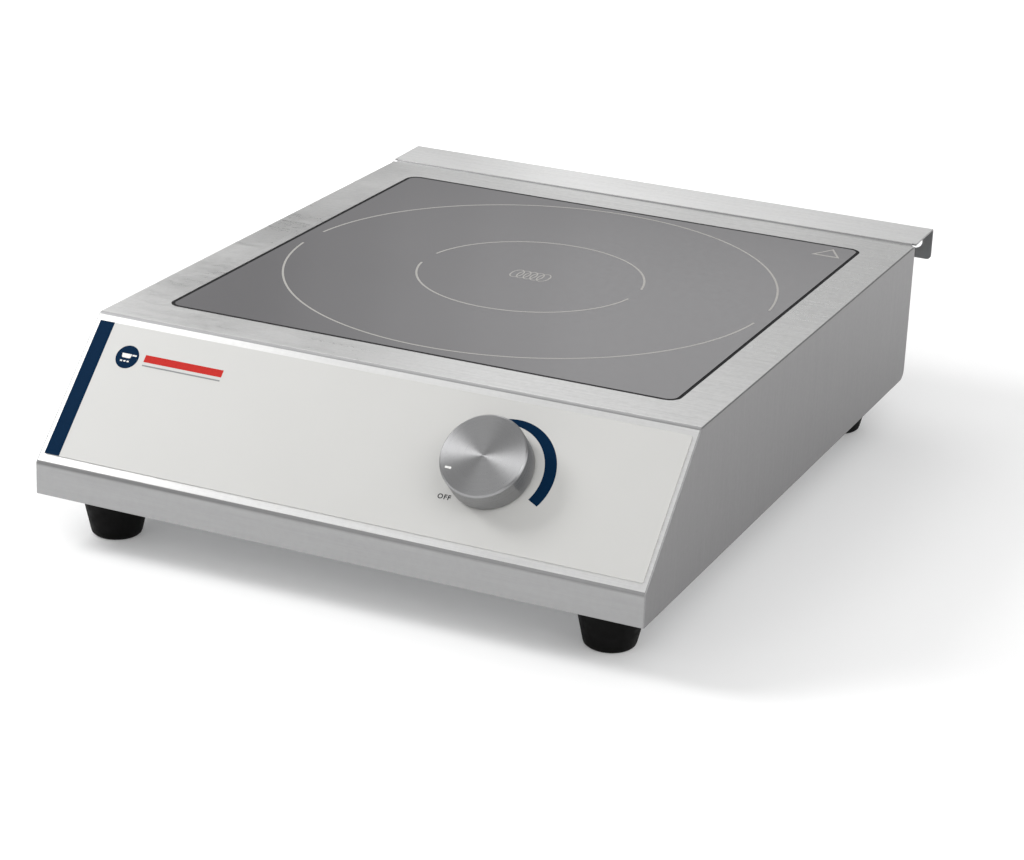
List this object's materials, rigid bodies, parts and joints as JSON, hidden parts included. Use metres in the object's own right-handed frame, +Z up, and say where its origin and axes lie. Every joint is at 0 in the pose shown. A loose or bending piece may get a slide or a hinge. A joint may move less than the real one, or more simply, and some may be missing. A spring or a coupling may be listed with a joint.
{
  "type": "induction hob",
  "caption": "Countertop induction hob: folded stainless casing with a sloping front, rotary power knob, flush ceramic glass and tapered rubber feet.",
  "frame": {"origin": "on the standing surface, under the middle of the whole footprint (front lip to rear strip)", "axes": "+X to the right seen from the front, +Y to the rear, +Z up out of the glass; the control faces -Y"},
  "size_m": [0.327, 0.425, 0.1057],
  "materials": {
    "stainless_steel": "satin, grained",
    "galvanised_steel": "dull zinc coat",
    "zinc_steel": "bright zinc plate",
    "ceramic_glass": "polished, dark grey, opaque",
    "black_silicone": "matt",
    "printed_label": "satin polyester overlay",
    "black_rubber": "matt, lightly grained",
    "spun_aluminium": "turned face, fine circular grain",
    "black_plastic": "matt moulded",
    "white_mark": "paint",
    "brass": "turned",
    "circuit_board": "solder mask",
    "litz_copper": "enamelled strands",
    "light_plastic": "matt moulded",
    "ferrite": "sintered, matt",
    "mica": "layered, slightly glossy",
    "heatsink_aluminium": "extruded",
    "lead_sleeve": "braided sleeve",
    "grey_cable": "sheathed bundle"
  },
  "bodies": {
    "casing": {"housing_shell": "stainless_steel", "base_tray": "galvanised_steel", "glass_frame": "galvanised_steel", "glass_plate": "ceramic_glass", "glass_seal": "black_silicone", "front_label": "printed_label", "potentiometer_body": "galvanised_steel", "potentiometer_nut": "zinc_steel", "control_board": "circuit_board", "coil_winding": "litz_copper", "coil_carrier": "light_plastic", "mica_sheet": "mica", "temperature_sensor": "light_plastic", "power_board": "circuit_board", "heatsink": "heatsink_aluminium", "power_transistor": "black_plastic", "bridge_rectifier": "black_plastic", "filter_capacitor": "light_plastic", "resonant_capacitor": "light_plastic", "choke": "litz_copper", "terminal_block": "light_plastic", "fuse": "zinc_steel", "coil_lead_outer": "lead_sleeve", "coil_lead_inner": "lead_sleeve", "control_cable": "grey_cable", "fan_frame": "black_plastic", "cable_gland": "black_plastic", "gland_nut": "black_plastic", "foot_front_left": "black_rubber", "foot_screw_front_left": "zinc_steel", "foot_front_right": "black_rubber", "foot_screw_front_right": "zinc_steel", "foot_rear_left": "black_rubber", "foot_screw_rear_left": "zinc_steel", "foot_rear_right": "black_rubber", "foot_screw_rear_right": "zinc_steel", "rear_screw_left": "zinc_steel", "rear_screw_right": "zinc_steel", "base_screw_1": "zinc_steel", "board_post_1": "light_plastic", "base_screw_2": "zinc_steel", "board_post_2": "light_plastic", "base_screw_3": "zinc_steel", "board_post_3": "light_plastic", "base_screw_4": "zinc_steel", "board_post_4": "light_plastic", "ferrite_bar_1": "ferrite", "ferrite_bar_2": "ferrite", "ferrite_bar_3": "ferrite", "ferrite_bar_4": "ferrite", "ferrite_bar_5": "ferrite", "ferrite_bar_6": "ferrite", "coil_post_1": "black_plastic", "coil_post_2": "black_plastic", "coil_post_3": "black_plastic"},
    "knob": {"knob_cap": "spun_aluminium", "knob_core": "black_plastic", "knob_pointer": "white_mark", "knob_shaft": "brass"},
    "fan": {"fan_rotor": "black_plastic"}
  },
  "joints": [
    {"name": "knob_turn", "type": "hinge", "parent": "casing", "child": "knob", "pos_m": [0.0705, -0.18092, 0.07465], "axis": [0, 0.7123, -0.7019], "range_deg": [0, 245]},
    {"name": "fan_spin", "type": "hinge", "parent": "casing", "child": "fan", "pos_m": [-0.095, 0.095, 0.044], "axis": [0, 0, 1], "continuous": true}
  ]
}
